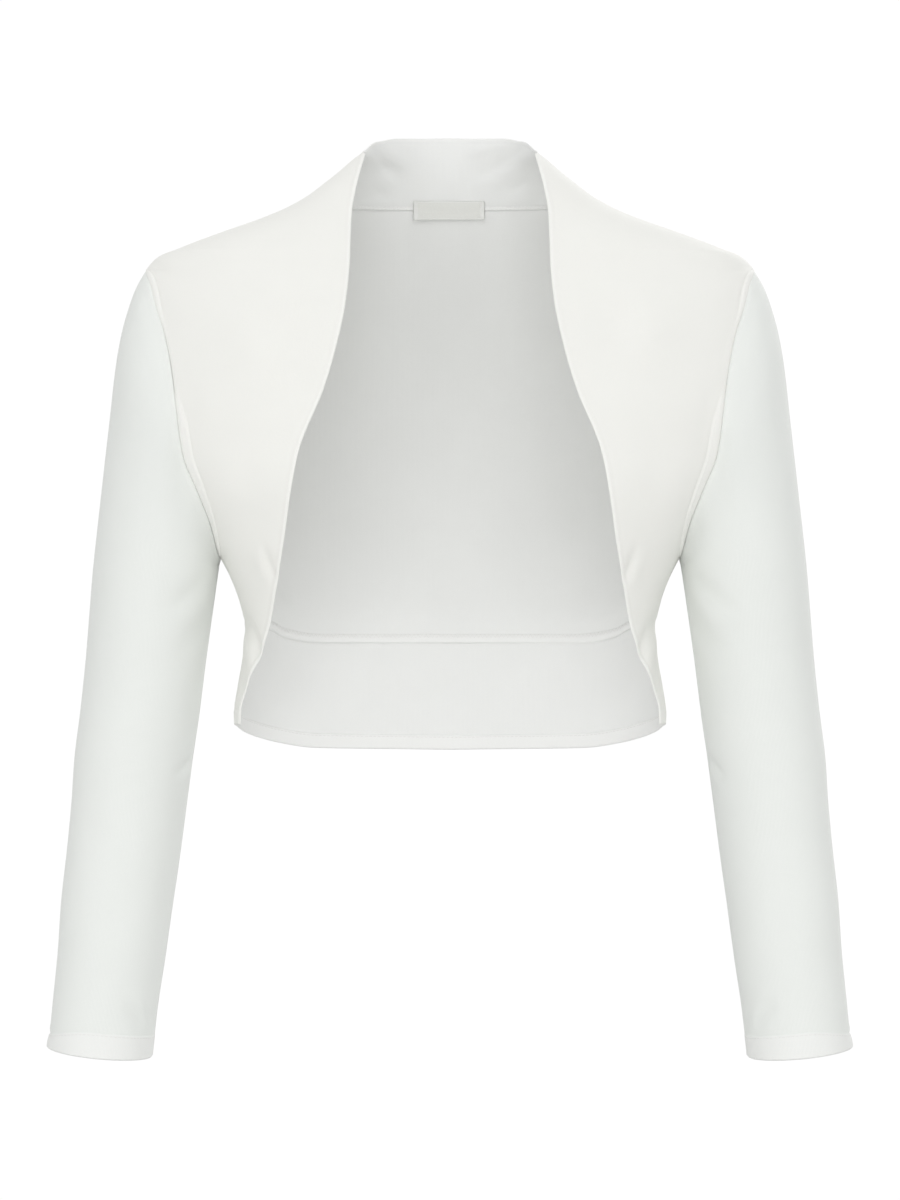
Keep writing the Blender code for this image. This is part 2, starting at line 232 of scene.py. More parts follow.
def armholeRow(share):
    # leaves the armhole at its own height and evens out towards the middle of the panel
    atArmhole = mix(body["shoulderTip"], body["underarm"], eased(share))
    atMiddle = mix(body["firstMiddle"], body["lastMiddle"], share)
    starts = {forward: sideAngle(atArmhole, forward) for forward in (True, False)}

    def height(angle):
        angle = np.asarray(angle, float)
        ahead = (angle - starts[True]) / (math.pi - starts[True])
        behind = 1 - np.abs(angle) / starts[False]
        inward = np.clip(np.where(np.cos(angle) < 0, ahead, behind), 0, 1)
        return mix(atArmhole, atMiddle, inward * (2 - inward))

    return height


def waistRow(share):
    underarmRow = armholeRow(1)
    return lambda angle: mix(underarmRow(angle), lineAt("waist", angle), share)


def bandRow(share):
    return lambda angle: mix(lineAt("waist", angle), lineAt("hem", angle), share)


rowPlan = {
    "collar": 24,
    "shoulder": 34,
    "shoulderEnds": (-1.6, -48.8),  # just below the neck seam, just above the shoulder tip
    "armhole": 76,
    "waist": 22,
    "band": 34,
    "hemEdge": 13,  # more rows where the band's doubled hem starts
    "hemEdgeShares": (0.84, 0.9),
}
collarRows = [collarRow(share) for share in 1 - easedSteps(rowPlan["collar"])]
shoulderRows = [levelRow(height) for height in np.linspace(*rowPlan["shoulderEnds"], rowPlan["shoulder"])]
armholeRows = [armholeRow(share) for share in np.linspace(0, 1, rowPlan["armhole"])]
waistRows = [waistRow(share) for share in easedSteps(rowPlan["waist"])[1:]]
hemEdgeShares = np.linspace(*rowPlan["hemEdgeShares"], rowPlan["hemEdge"])
bandShares = np.unique(np.concatenate([easedSteps(rowPlan["band"]), hemEdgeShares]))
bandRows = [bandRow(share) for share in bandShares]
bodyRows = shoulderRows + armholeRows + waistRows


class Sheet:
    # a grid of points on a surface, with how far each point is from the sheet's four edges
    def __init__(self, points, normals):
        self.points = points
        self.normals = normals
        across = np.cumsum(np.linalg.norm(np.diff(points, axis=1), axis=2), axis=1)
        down = np.cumsum(np.linalg.norm(np.diff(points, axis=0), axis=2), axis=0)
        self.first = np.pad(across, ((0, 0), (1, 0)))
        self.last = self.first[:, -1:] - self.first
        self.top = np.pad(down, ((1, 0), (0, 0)))
        self.bottom = self.top[-1:] - self.top
        self.sides = np.minimum(self.first, self.last)
        self.uv = np.stack([(self.first - self.last) / 2, -self.top], axis=-1) * mm
        self.relief = np.zeros(points.shape[:2])

    def raised(self, depth):
        # the surface with its relief, moved in by a depth
        return self.points + self.normals * (self.relief - depth)[..., None]


def betweenSides(columns):
    # the same angles in each row, from one side round the back to the other
    return lambda row: mix(-np.pi / 2, np.pi / 2, easedSteps(columns))


def bodySheet(rows, anglesOf, side=1):
    angle = np.array([anglesOf(row) for row in rows])
    height = np.array([row(angle[i]) for i, row in enumerate(rows)])
    mirror = np.array([side, 1, 1])
    return Sheet(bodyPoint(angle, height) * mirror, bodyNormal(angle, height) * mirror)


# Creases and seams
crease = {
    "waves": 6,  # how many waves make up an unevenness
    "fade": 1.5,  # how fast a fold fades towards its ends
    "lift": (0.45, 1.9, 1.2),  # ridge beside a fold, in shares of the fold's depth and width
}


def unevenness(points, depth, size, seed):
    # slow waves up to this depth, in mixed directions with fixed phases
    dice = np.random.default_rng(seed)
    total = np.zeros(points.shape[:2])
    for _ in range(crease["waves"]):
        heading = dice.normal(size=3)
        heading /= np.linalg.norm(heading)
        length = size * dice.uniform(0.7, 1.5)
        phase = dice.uniform(0, 6.28)
        total += np.sin(points @ heading * 2 * np.pi / length + phase)
    return depth * (total / crease["waves"])


def foldRelief(across, down, folds):
    # each fold: from, to, bow, width, depth; it fades at both ends and lifts the cloth on one side
    relief = np.zeros_like(across)
    for startX, startY, endX, endY, bow, width, depth in folds:
        length = math.hypot(endX - startX, endY - startY)
        alongX, alongY = (endX - startX) / length, (endY - startY) / length
        t = ((across - startX) * alongX + (down - startY) * alongY) / length
        off = (down - startY) * alongX - (across - startX) * alongY - bow * 4 * t * (1 - t)
        fade = np.clip(1 - (2 * t - 1) ** 2, 0, 1) ** crease["fade"]
        relief += depth * fade * (bump(off, 0, width) - ridge(off / width, *crease["lift"]))
    return relief


def panelRelief(points, panel):
    folds = foldRelief(points[..., 0], points[..., 2], panel["folds"])
    return folds + unevenness(points, *panel["unevenness"])


seam = {
    "lip": (0.35, 0, 0.8),  # how far a sewn edge turns in
    "puff": (0.25, 3.2, 2.2),  # soft rise beside the seam
    "thinned": (0.75, 0, 0.8),  # share of the cloth's thickness that is pressed away at the edge
    "flatAtTip": (0.75, body["shoulderTip"], 12),  # share of the relief, over the top of the sleeve head
    "tipSwell": 2.4,  # the gathered turnings push the shoulder tip out
    "swell": (9, 14),  # height and width of this on a panel
}
# hem of the fronts and the waistband
lowerHem = {
    "width": 9.7,
    "thickness": 1.9,
    "relief": 0.2,
    "stitchInset": 1.3,  # from its upper edge down to the stitches
}


def atShoulderTip(height):
    return 1 - ridge(height, *seam["flatAtTip"])


def sewEdges(sheet, thickness, distances, share=1):
    # turns the sewn edges in, and gives the cloth's thickness with those edges pressed
    for distance in distances:
        sheet.relief += (ridge(distance, *seam["puff"]) - ridge(distance, *seam["lip"])) * share
        thickness = thickness * (1 - ridge(distance, *seam["thinned"]))
    return thickness


def tipSwell(sheet, fromSeam):
    height, width = seam["swell"]
    along = bump(sheet.points[..., 2], body["shoulderTip"] - 1, height)
    return seam["tipSwell"] * along * bump(fromSeam, 0, width)


def hemOf(sheet, depth):
    # 1 over the doubled hem, 0 above it
    step = 0.4
    return softStep(sheet.bottom, depth + step, depth - step)


# Meshes
def newPiece(name, mesh):
    piece = newObject(name, mesh)
    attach(piece, "root")
    return piece


def clothMesh(name, sheet, near, far, doubled, material):
    # a closed thin shell between two depths, its edges rounded over by one row of points
    rows, columns = sheet.relief.shape
    count = rows * columns
    index = np.arange(count).reshape(rows, columns)
    quads = np.stack([index[:-1, :-1], index[:-1, 1:], index[1:, 1:], index[1:, :-1]], axis=-1).reshape(-1, 4)
    rim = np.concatenate([index[0], index[1:-1, -1], index[-1, ::-1], index[-2:0:-1, 0]])
    within = np.concatenate([index[1], index[1:-1, -2], index[-2, ::-1], index[-2:0:-1, 1]])
    outerPoints = sheet.raised(near).reshape(-1, 3)
    innerPoints = sheet.raised(far).reshape(-1, 3)
    away = unit(outerPoints[rim] - outerPoints[within])
    thick = np.linalg.norm(outerPoints[rim] - innerPoints[rim], axis=1, keepdims=True)
    bulge = 0.45  # how far the rounded edge stands out, as a share of the thickness
    roundPoints = (outerPoints[rim] + innerPoints[rim]) / 2 + away * thick * bulge
    middle = 2 * count + np.arange(len(rim))
    nextRim, nextMiddle = np.roll(rim, -1), np.roll(middle, -1)
    faces = np.concatenate([
        quads, quads[:, ::-1] + count,
        np.stack([rim, middle, nextMiddle, nextRim], axis=-1),
        np.stack([middle, rim + count, nextRim + count, nextMiddle], axis=-1)])
    points = np.concatenate([outerPoints, innerPoints, roundPoints]) * mm

    mesh = bpy.data.meshes.new(name)
    mesh.from_pydata(points.tolist(), [], faces.tolist())
    mesh.update()
    flatUv = sheet.uv.reshape(-1, 2)
    pointUv = np.concatenate([flatUv, flatUv, flatUv[rim]])
    layer = mesh.uv_layers.new(name="clothUv")
    corners = np.empty(len(mesh.loops), dtype=np.int32)
    mesh.loops.foreach_get("vertex_index", corners)
    layer.data.foreach_set("uv", pointUv[corners].astype(np.float32).ravel())
    mask = np.broadcast_to(doubled, (rows, columns)).reshape(-1)
    values = np.concatenate([mask, mask, mask[rim]]).astype(np.float32)
    mesh.attributes.new("doubled", "FLOAT", "POINT").data.foreach_set("value", values)

    work = bmesh.new()
    work.from_mesh(mesh)
    if work.calc_volume(signed=True) < 0:
        bmesh.ops.reverse_faces(work, faces=work.faces)
    work.to_mesh(mesh)
    work.free()
    mesh.shade_smooth()
    mesh.materials.append(materials[material])
    return newPiece(name, mesh)


def pathOn(surface, distance, reach):
    # the line over a grid of points where each column is this far from an edge
    columns = surface.shape[1]
    reach = np.broadcast_to(reach, columns)
    path = np.empty((columns, 3))
    for j in range(columns):
        order = np.argsort(distance[:, j])
        for k in range(3):
            path[j, k] = np.interp(reach[j], distance[order, j], surface[order, j, k])
    return path


# Nodes
class Wire:
    # a node's socket, which takes part in sums and leads into other nodes
    def __init__(self, tree, socket=None):
        self.tree = tree
        self.socket = socket

    def node(self, kind, settings=None, inputs=None, output=0):
        node = self.tree.nodes.new(kind)
        for name, value in (settings or {}).items():
            setattr(node, name, value)
        for name, value in (inputs or {}).items():
            if isinstance(value, Wire):
                self.tree.links.new(value.socket, node.inputs[name])
            else:
                node.inputs[name].default_value = value
        return Wire(self.tree, node.outputs[output])

    def sum(self, operation, first, second):
        return self.node("ShaderNodeMath", {"operation": operation}, {0: first, 1: second})

    def __add__(self, other):
        return self.sum("ADD", self, other)

    def __radd__(self, other):
        return self.sum("ADD", other, self)

    def __sub__(self, other):
        return self.sum("SUBTRACT", self, other)

    def __rsub__(self, other):
        return self.sum("SUBTRACT", other, self)

    def __mul__(self, other):
        return self.sum("MULTIPLY", self, other)

    def __rmul__(self, other):
        return self.sum("MULTIPLY", other, self)

    def sine(self):
        return self.node("ShaderNodeMath", {"operation": "SINE"}, {0: self})

    def noise(self, scale, detail, roughness=0.5):
        return self.node("ShaderNodeTexNoise", inputs={"Vector": self, "Scale": scale, "Detail": detail,
                                                       "Roughness": roughness})

    def blend(self, low, high):
        # colour from low to high as this value goes from 0 to 1
        return self.node("ShaderNodeMix", {"data_type": "RGBA"}, {0: self, 6: low, 7: high}, output=2)

    def tint(self, shade):
        return self.node("ShaderNodeVectorMath", {"operation": "SCALE"}, {0: self, "Scale": shade})

    def bumped(self, strength, distance=1.0):
        return self.node("ShaderNodeBump", inputs={"Strength": strength, "Distance": distance,
                                                   "Height": self})

    def into(self, node, name):
        self.tree.links.new(self.socket, node.inputs[name])


def rgb(red, green, blue):
    return (red, green, blue, 1.0)


def newMaterial(name):
    material = bpy.data.materials.new(name)
    material.use_nodes = True
    return material, material.node_tree.nodes["Principled BSDF"], Wire(material.node_tree)


# colour where the cloth is single and doubled, roughness, depth of the crepe grain and of the ribs in metres
cloths = {
    "ivoryCrepe": {"colour": rgb(0.885, 0.885, 0.85), "doubled": rgb(0.91, 0.91, 0.88),
                   "roughness": 0.78, "grain": 0.00010, "ribs": 0.00002},
    "sleeveJersey": {"colour": rgb(0.845, 0.867, 0.84), "doubled": rgb(0.88, 0.89, 0.87),
                     "roughness": 0.8, "grain": 0.00008, "ribs": 0.00004},
    "backJersey": {"colour": rgb(0.884, 0.89, 0.877), "doubled": rgb(0.915, 0.918, 0.905),
                   "roughness": 0.8, "grain": 0.00008, "ribs": 0.00004},
}
weave = {
    "grain": 1300.0,  # crepe pebbles per metre
    "grainShade": 0.04,
    "grainRoughness": 0.1,
    "wales": 1100.0,  # knitted ribs per metre
    "walesShade": 0.004,
    "mottle": 26.0,  # soft patches per metre
    "mottleShade": 0.03,
    "bump": 0.6,
    "sheen": 0.12,
    "sheenRoughness": 0.4,
    "specular": 0.3,
}


def clothMaterial(name):
    cloth = cloths[name]
    material, shader, wire = newMaterial(name)
    place = wire.node("ShaderNodeTexCoord", output=3)
    uv = wire.node("ShaderNodeUVMap", {"uv_map": "clothUv"})
    across = wire.node("ShaderNodeSeparateXYZ", inputs={0: uv})
    grain = place.noise(weave["grain"], 2, 0.6)
    mottle = place.noise(weave["mottle"], 3)
    doubled = wire.node("ShaderNodeAttribute", {"attribute_name": "doubled"}, output=2)
    ribs = (across * (weave["wales"] * 2 * math.pi)).sine()
    shade = (1.0 + (mottle - 0.5) * weave["mottleShade"] + (grain - 0.5) * weave["grainShade"]
             + ribs * weave["walesShade"])
    rough = cloth["roughness"] + (grain - 0.5) * weave["grainRoughness"]
    height = grain * cloth["grain"] + ribs * cloth["ribs"]
    doubled.blend(cloth["colour"], cloth["doubled"]).tint(shade).into(shader, "Base Color")
    rough.into(shader, "Roughness")
    height.bumped(weave["bump"]).into(shader, "Normal")
    shader.inputs["Sheen Weight"].default_value = weave["sheen"]
    shader.inputs["Sheen Roughness"].default_value = weave["sheenRoughness"]
    shader.inputs["Specular IOR Level"].default_value = weave["specular"]
    return material


thread = {
    "twistShadeColours": (rgb(0.74, 0.74, 0.72), rgb(0.86, 0.86, 0.84)),  # painted shade between its twists and a painted highlight on them
    "twist": 900.0,
    "twistDepth": 0.0001,
    "bump": 0.5,
    "roughness": 0.45,
}


def threadMaterial():
    material, shader, wire = newMaterial("sewingThread")
    place = wire.node("ShaderNodeTexCoord", output=3)
    twist = wire.node("ShaderNodeTexWave", {"bands_direction": "DIAGONAL"},
                      {"Vector": place, "Scale": thread["twist"]})
    # the twist's colours paint shade between the twists and a highlight on their crests
    twist.blend(*thread["twistShadeColours"]).into(shader, "Base Color")
    twist.bumped(thread["bump"], thread["twistDepth"]).into(shader, "Normal")
    shader.inputs["Roughness"].default_value = thread["roughness"]
    return material


label = {
    "width": 51.0,
    "height": 12.3,
    "middle": (-0.8, 0.5),  # x and height
    "columns": 64,
    "rows": 20,
    "stand": 1.9,  # from the outside of the cloth to the label's back
    "thickness": 0.45,
    "curl": (1.5, 4, -3),  # of the lower corner: how far, and where it starts across and down
    "freeEdge": (1.3, 1),  # the same for the rest of the lower edge
    "ripple": (0.12, 0.21, 0.6),  # height, radians for each millimetre, start
    "foldedEnd": (3.2, 2.2),  # from each end: where the folded cloth ends and is full
    "folded": 0.7,  # what the fold adds to the thickness, as a share
    "selvedge": (0.9, 0.5),  # the same from the upper and lower edge
    "sewnColumns": (2, 62),  # of the grid
    "sewnRows": (1, 14),
    "sewnAt": 1.8,  # in thicknesses
    "stitch": 1.6,
    "spacing": 2.0,
    "colour": rgb(0.79, 0.795, 0.76),
    "edgeColour": rgb(0.83, 0.835, 0.81),
    "ribs": 1500.0,  # per metre, with half as many wefts
    "ribShade": 0.03,
    "ribDepth": 0.00003,
    "weftDepth": 0.00002,
    "fleck": 900.0,
    "fleckShade": 0.08,
    "fleckRoughness": 0.15,
    "bump": 0.7,
    "roughness": 0.42,
    "sheen": 0.2,
}


def labelMaterial():
    # blank satin ribbon with fine ribs across it
    material, shader, wire = newMaterial("satinRibbon")
    uv = wire.node("ShaderNodeUVMap", {"uv_map": "clothUv"})
    across = wire.node("ShaderNodeSeparateXYZ", inputs={0: uv}, output=0)
    down = wire.node("ShaderNodeSeparateXYZ", inputs={0: uv}, output=1)
    ribs = (down * (label["ribs"] * 2 * math.pi)).sine()
    wefts = (across * (label["ribs"] * math.pi)).sine()
    fleck = uv.noise(label["fleck"], 2)
    selvedge = wire.node("ShaderNodeAttribute", {"attribute_name": "doubled"}, output=2)
    shade = 1.0 + ribs * label["ribShade"] + (fleck - 0.5) * label["fleckShade"]
    rough = label["roughness"] + (fleck - 0.5) * label["fleckRoughness"]
    height = ribs * label["ribDepth"] + wefts * label["weftDepth"]
    selvedge.blend(label["colour"], label["edgeColour"]).tint(shade).into(shader, "Base Color")
    rough.into(shader, "Roughness")
    height.bumped(label["bump"]).into(shader, "Normal")
    shader.inputs["Sheen Weight"].default_value = label["sheen"]
    return material


materials = {name: clothMaterial(name) for name in cloths}
materials["thread"] = threadMaterial()
materials["ribbon"] = labelMaterial()
print("cloth materials made")


# Sewing: stitches along a path, and thread that follows one, each made by its own tree
def nodeTree(name, sizes):
    # takes a path in mesh edges, sizes and a material, and gives a wire from each
    tree = bpy.data.node_groups.new(name, "GeometryNodeTree")
    tree.interface.new_socket("Path", in_out="INPUT", socket_type="NodeSocketGeometry")
    for title in sizes:
        tree.interface.new_socket(title, in_out="INPUT", socket_type="NodeSocketFloat")
    tree.interface.new_socket("Material", in_out="INPUT", socket_type="NodeSocketMaterial")
    tree.interface.new_socket("Geometry", in_out="OUTPUT", socket_type="NodeSocketGeometry")
    given = tree.nodes.new("NodeGroupInput").outputs
    return Wire(tree), {socket.name: Wire(tree, socket) for socket in given}


def finishTree(shape, material):
    real = shape.node("GeometryNodeRealizeInstances", inputs={"Geometry": shape})
    painted = real.node("GeometryNodeSetMaterial", inputs={"Geometry": real, "Material": material})
    smooth = painted.node("GeometryNodeSetShadeSmooth", inputs={"Geometry": painted})
    smooth.into(shape.tree.nodes.new("NodeGroupOutput"), 0)
    return shape.tree


def stitchTree():
    wire, given = nodeTree("stitchRun", ("Spacing", "Stitch Length", "Thread"))
    curve = wire.node("GeometryNodeMeshToCurve", inputs={"Mesh": given["Path"]})
    spaced = wire.node("GeometryNodeResampleCurve", {"mode": "LENGTH"},
                       {"Curve": curve, "Length": given["Spacing"]})
    size = wire.node("ShaderNodeCombineXYZ", inputs={"X": given["Stitch Length"], "Y": given["Thread"],
                                                     "Z": given["Thread"]})
    bead = wire.node("GeometryNodeMeshUVSphere", inputs={"Segments": 6, "Rings": 5, "Radius": 0.5})
    turned = wire.node("GeometryNodeTransform", inputs={"Geometry": bead,
                                                        "Rotation": (0.0, math.pi / 2, 0.0)})
    one = wire.node("GeometryNodeTransform", inputs={"Geometry": turned, "Scale": size})
    tangent = wire.node("GeometryNodeInputTangent")
    facing = wire.node("FunctionNodeAlignRotationToVector", {"axis": "X"}, {"Vector": tangent})
    placed = wire.node("GeometryNodeInstanceOnPoints", inputs={"Points": spaced, "Instance": one,
                                                               "Rotation": facing})
    return finishTree(placed, given["Material"])


def threadTree():
    wire, given = nodeTree("threadRun", ("Thread",))
    curve = wire.node("GeometryNodeMeshToCurve", inputs={"Mesh": given["Path"]})
    half = given["Thread"] * 0.5
    ring = wire.node("GeometryNodeCurvePrimitiveCircle", inputs={"Resolution": 5, "Radius": half})
    tube = wire.node("GeometryNodeCurveToMesh", inputs={"Curve": curve, "Profile Curve": ring,
                                                        "Fill Caps": True})
    return finishTree(tube, given["Material"])


sewing = {
    "thread": 0.3,
    "stitch": 2.3,
    "spacing": 3.1,
    "offInside": 0.05,  # how far a row of stitches lies off the cloth
    "offOutside": 0.02,
    "overlockThread": 0.24,
    "overlockPitch": 1.5,
    "overlockWidth": 2.6,
}
trees = {"stitches": stitchTree(), "thread": threadTree()}


def sew(name, paths, kind, values):
    # paths are lists of points in millimetres; the tree's result is kept as a plain mesh
    points, edges = [], []
    for path in paths:
        start = len(points)
        points += [tuple(point * mm) for point in np.asarray(path)]
        edges += [(start + i, start + i + 1) for i in range(len(path) - 1)]
    lines = bpy.data.meshes.new(name + "_lines")
    lines.from_pydata(points, edges, [])
    guide = newObject(name + "_guide", lines)
    modifier = guide.modifiers.new("sewing", "NODES")
    modifier.node_group = trees[kind]
    inputs = [item for item in trees[kind].interface.items_tree if item.in_out == "INPUT"]
    sockets = {item.name: item.identifier for item in inputs}
    for title, value in values.items():
        modifier[sockets[title]] = value * mm
    modifier[sockets["Material"]] = materials["thread"]
    mesh = bpy.data.meshes.new_from_object(guide.evaluated_get(bpy.context.evaluated_depsgraph_get()))
    mesh.name = name
    guide.modifiers.remove(modifier)
    bpy.data.objects.remove(guide)
    return newPiece(name, mesh)


def sewStitches(name, paths):
    return sew(name, paths, "stitches", {"Spacing": sewing["spacing"], "Stitch Length": sewing["stitch"],
                                         "Thread": sewing["thread"]})


def sewLowerHem(name, sheet, ends):
    # along the inside, just below the upper edge of the doubled hem
    inside = pathOn(sheet.raised(lowerHem["thickness"] + sewing["offInside"]), sheet.bottom,
                    lowerHem["width"] - lowerHem["stitchInset"])
    return sewStitches(name + "_hem_stitches", [inside[slice(*ends)]])


def overlock(edge, inward):
    # zigzag path over a raw edge; inward points from the edge into the cloth
    along = lengthsAlong(edge)
    count = int(along[-1] / sewing["overlockPitch"])
    at = np.linspace(0, along[-1], count)
    line = np.stack([np.interp(at, along, edge[:, k]) for k in range(3)], axis=-1)
    into = np.stack([np.interp(at, along, inward[:, k]) for k in range(3)], axis=-1)
    line[1::2] += into[1::2] * sewing["overlockWidth"]
    return line


# Fronts, with the collar grown on, in one piece down to the hem
front = {
    "columns": 96,
    "thickness": 1.2,
    "edgeRoll": (0.4, 1.8, 1.4),  # ridge along the front edge
    "edgeThinned": 0.35,
    "edgeThinnedWidth": 3,
    "edgeDoubled": (2.4, 1.2),  # from the edge: where the doubled cloth ends and is full
    "allowance": 0.75,  # seam turnings that show through beside the armhole
    "allowanceFade": 8,  # over which they fade out at the shoulder tip and the underarm
    "allowanceEdge": (0.9, -0.5),  # past their width: where they end and are full
    "allowanceDoubled": 0.8,
    "groove": (0.35, 1.4, 0.8),  # beside the turnings
    "unevenness": (0.35, 90, 3),  # depth, size and seed, as in every piece
    "unevenFrom": (2, 14),  # from the front edge: where it starts and is full
    "foldsFrom": (0, 16),  # the same for the folds, from the side seam
    "hemStitches": (2, -4),  # first and last column
    # from x, height to x, height, bow, width, depth
    "folds": [
        (128, -240, 117, -272, 1, 3, -1.8),
        (148, -284, 130, -328, -3, 4, -2.4),
        (134, -300, 131, -340, 1, 3, -0.9),
        (144, -318, 142, -354, 1, 3.4, -1.3),
        (188, -218, 146, -258, 4, 8, -1.1),
        (192, -128, 172, -176, -3, 9, -0.9),
        (96, -60, 118, -118, 4, 14, -1.3),
        (158, -70, 120, -150, -5, 16, 1.2),
        (150, -170, 128, -236, -4, 12, -1),
    ],
}
# how wide the armhole's seam turnings are and how much they show, by height
turningsTable = readTable("width show", [
    (-45, 6.5, 0.2), (-56, 6.5, 0.9), (-70, 5.5, 0.9), (-86, 3.5, 0.5), (-98, 2, 0.1), (-134, 2, 0.05),
    (-144, 4, 0.7), (-165, 8, 1), (-190, 9.5, 1), (-220, 9, 0.9), (-250, 6.5, 0.7)])


def shownTurnings(sheet):
    # the strip beside the armhole where the seam turnings show through, and the groove along it
    height = sheet.points[..., 2]
    fade = front["allowanceFade"]
    shown = turningsTable["show"](height)
    shown = shown * softStep(height, body["shoulderTip"] + fade, body["shoulderTip"])
    shown *= softStep(height, body["underarm"] - fade, body["underarm"] + fade)
    width = turningsTable["width"](height)
    ends, full = front["allowanceEdge"]
    strip = shown * softStep(sheet.first, width + ends, width + full)
    groove = shown * ridge(sheet.first - width, *front["groove"])
    return strip, groove


def makeFront(name, side):
    def angles(row):
        return mix(sideAngle(float(row(np.pi / 2)), True), edgeAngle(row), easedSteps(front["columns"]))

    sheet = bodySheet(collarRows + bodyRows + bandRows[1:], angles, side)
    height = sheet.points[..., 2]
    strip, groove = shownTurnings(sheet)
    sheet.relief += front["allowance"] * strip - groove
    folds = foldRelief(sheet.points[..., 0] * side, height, front["folds"])
    sheet.relief += folds * softStep(sheet.first, *front["foldsFrom"])
    uneven = unevenness(sheet.points, *front["unevenness"])
    sheet.relief += uneven * softStep(sheet.last, *front["unevenFrom"]) + tipSwell(sheet, sheet.first)
    sheet.relief += ridge(sheet.last, *front["edgeRoll"])
    hem = hemOf(sheet, lowerHem["width"])
    sheet.relief += lowerHem["relief"] * hem
    thickness = mix(front["thickness"], lowerHem["thickness"], hem)
    thickness *= 1 - front["edgeThinned"] * softStep(sheet.last, front["edgeThinnedWidth"], 0)
    thickness = sewEdges(sheet, thickness, [sheet.first], atShoulderTip(height))
    stitches = sewLowerHem(name, sheet, front["hemStitches"])
    edge = softStep(sheet.last, *front["edgeDoubled"])
    doubled = np.maximum(np.maximum(hem, front["allowanceDoubled"] * strip), edge)
    piece = clothMesh(name + "_cloth", sheet, 0, thickness, doubled, "ivoryCrepe")
    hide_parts(name)


makeFront("left_front", 1)
makeFront("right_front", -1)
print("fronts made")

# Seam turnings inside: pressed up above the waist seam, and narrow above the neck seam
turnings = {
    # above: from the seam up; reach: degrees to each side; stand: depth behind the cloth's outside
    "waist": {"above": 0.8, "width": 5.8, "reach": 88, "stand": 0.95, "columns": 165},
    "neck": {"above": 0.3, "width": 2.6, "reach": 84, "stand": 1.15, "columns": 75},
    "rows": 8,
    "thickness": 0.7,
    "atTop": (0.2, 2.6),  # share of the thickness at the raw edge, and how far it grows to full
    "atSeam": (0.45, 1),
    "overlockRow": 3,  # of the grid, towards which the stitches point
}


def makeTurnings(place, lowLine, panel):
    # a strip on the inside of the cloth, from a seam up
    strip = turnings[place]
    reach = math.radians(strip["reach"])

    def angles(row):
        return np.linspace(-reach, reach, strip["columns"])

    def row(share):
        return lambda angle: lowLine(angle) + strip["above"] + strip["width"] * share

    def edge(distance, share, full):
        return mix(share, 1, softStep(distance, 0, full))

    sheet = bodySheet([row(share) for share in 1 - easedSteps(turnings["rows"])], angles)
    sheet.relief += panelRelief(sheet.points, panel)
    share = np.minimum(edge(sheet.top, *turnings["atTop"]), edge(sheet.bottom, *turnings["atSeam"]))
    inside = strip["stand"] + turnings["thickness"] * share
    piece = clothMesh(place + "_turnings", sheet, strip["stand"], inside, 1, "backJersey")
    face = sheet.raised(inside)
    zigzag = overlock(face[0], unit(face[turnings["overlockRow"]] - face[0]))
    sewn = sew(place + "_turnings_overlock", [zigzag], "thread", {"Thread": sewing["overlockThread"]})
    return [piece, sewn]


# Back
back = {
    "columns": 170,
    "thickness": 0.9,
    "unevenness": (0.5, 120, 11),
    "folds": [
        (-176, -96, -112, -158, 7, 9, -2.2),
        (170, -92, 116, -170, -6, 10, -2.4),
        (-62, -170, -78, -286, 4, 18, -1.3),
        (54, -150, 84, -280, -6, 20, -1.4),
        (-182, -182, -122, -232, 5, 7, -2.3),
        (-164, -214, -118, -262, 3, 6, -1.6),
        (176, -176, 112, -222, -4, 7, -2.1),
        (162, -212, 124, -268, -3, 6.5, -1.8),
        (-148, -262, -110, -296, 3, 6, -1.5),
        (144, -270, 104, -300, -2, 6, -1.3),
        (-20, -228, 30, -262, 3, 12, -0.8),
    ],
}


def makeBack():
    def angles(row):
        side = sideAngle(float(row(np.pi / 2)), False)
        return mix(-side, side, easedSteps(back["columns"]))

    sheet = bodySheet([levelRow(body["collarSeam"])] + bodyRows, angles)
    sheet.relief += panelRelief(sheet.points, back) + tipSwell(sheet, sheet.sides)
    seams = (sheet.sides, sheet.top, sheet.bottom)
    thickness = sewEdges(sheet, back["thickness"], seams, atShoulderTip(sheet.points[..., 2]))
    pressed = makeTurnings("waist", lambda angle: lineAt("waist", angle), back)
    piece = clothMesh("back_cloth", sheet, 0, thickness, 0, "backJersey")
    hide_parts("back")


makeBack()

# Collar stand at the back of the neck
collar = {
    "columns": 120,
    "thickness": 1.2,
    "topRoll": (0.3, 2, 1.6),
    "topDoubled": (2.2, 1),  # from the top edge: where the doubled cloth ends and is full
    "unevenness": (0.3, 60, 5),
    "folds": [
        (58, 46, 12, 21, 1.5, 4.4, 2.6),
        (-58, 44, -33, 20, -1, 4, 2.4),
        (40, 50, 6, 38, 1, 4.2, -1.2),
        (3, 53, 5, 2, 0.5, 6.5, -1.4),
        (58, 22, 42, 12, 0.5, 3.4, 1.5),
        (-60, 14, -40, 8, 0.5, 4, 1),
    ],
}


def makeBackCollar():
    sheet = bodySheet(collarRows, betweenSides(collar["columns"]))
    sheet.relief += panelRelief(sheet.points, collar)
    sheet.relief += ridge(sheet.top, *collar["topRoll"])
    thickness = sewEdges(sheet, collar["thickness"], (sheet.sides, sheet.bottom))
    pressed = makeTurnings("neck", levelRow(body["collarSeam"]), collar)
    doubled = softStep(sheet.top, *collar["topDoubled"])
    piece = clothMesh("back_collar_cloth", sheet, 0, thickness, doubled, "backJersey")
    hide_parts("back_collar")


makeBackCollar()


